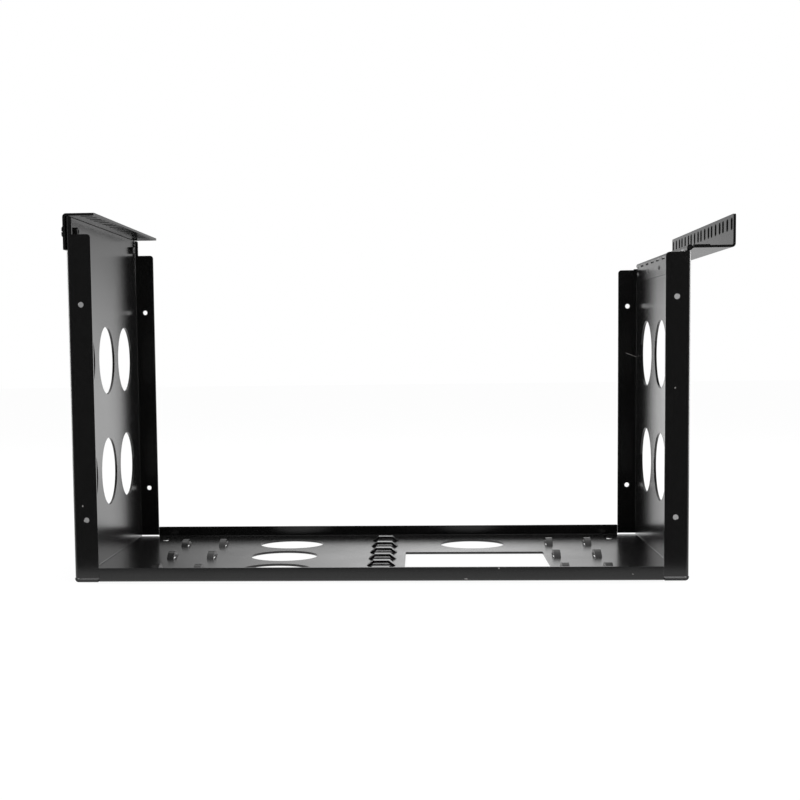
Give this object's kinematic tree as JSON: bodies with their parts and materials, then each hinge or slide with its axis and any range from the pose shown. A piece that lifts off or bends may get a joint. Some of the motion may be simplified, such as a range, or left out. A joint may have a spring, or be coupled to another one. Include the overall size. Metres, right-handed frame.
{
  "type": "hinged wall-mount rack bracket",
  "caption": "Black folded-steel rack bracket with a wall plate, two side walls, a latched rail and a hinged rail swung open.",
  "frame": {"origin": "centre of the wall plate's back face", "axes": "+Z out of the wall plate, away from the wall; +X across the rack towards the hinged rail; +Y along the rails"},
  "size_m": [0.5427, 0.2666, 0.301],
  "materials": {
    "black_powder_coat": "satin",
    "black_screw": "satin",
    "nut_zinc": "satin",
    "pin_steel": "satin"
  },
  "bodies": {
    "frame": {"chassis_body": "black_powder_coat", "latch_rail": "black_powder_coat", "hinge_wall_leaf": "black_powder_coat", "hinge_pin": "pin_steel", "wall_rivet_1": "black_powder_coat", "wall_rivet_2": "black_powder_coat", "wall_rivet_3": "black_powder_coat", "wall_rivet_4": "black_powder_coat", "wall_rivet_5": "black_powder_coat", "latch_screw_front": "black_screw", "latch_screw_rear": "black_screw", "clinch_nut_front": "nut_zinc", "clinch_nut_rear": "nut_zinc"},
    "swing_rail": {"hinge_rail": "black_powder_coat", "hinge_rail_leaf": "black_powder_coat", "rail_rivet_1": "black_powder_coat", "rail_rivet_2": "black_powder_coat", "rail_rivet_3": "black_powder_coat", "rail_rivet_4": "black_powder_coat", "rail_rivet_5": "black_powder_coat"}
  },
  "joints": [
    {"name": "rail_hinge", "type": "hinge", "parent": "frame", "child": "swing_rail", "pos_m": [0.24935, 0, 0.266], "axis": [0, 1, 0], "range_deg": [-90, 58]}
  ]
}
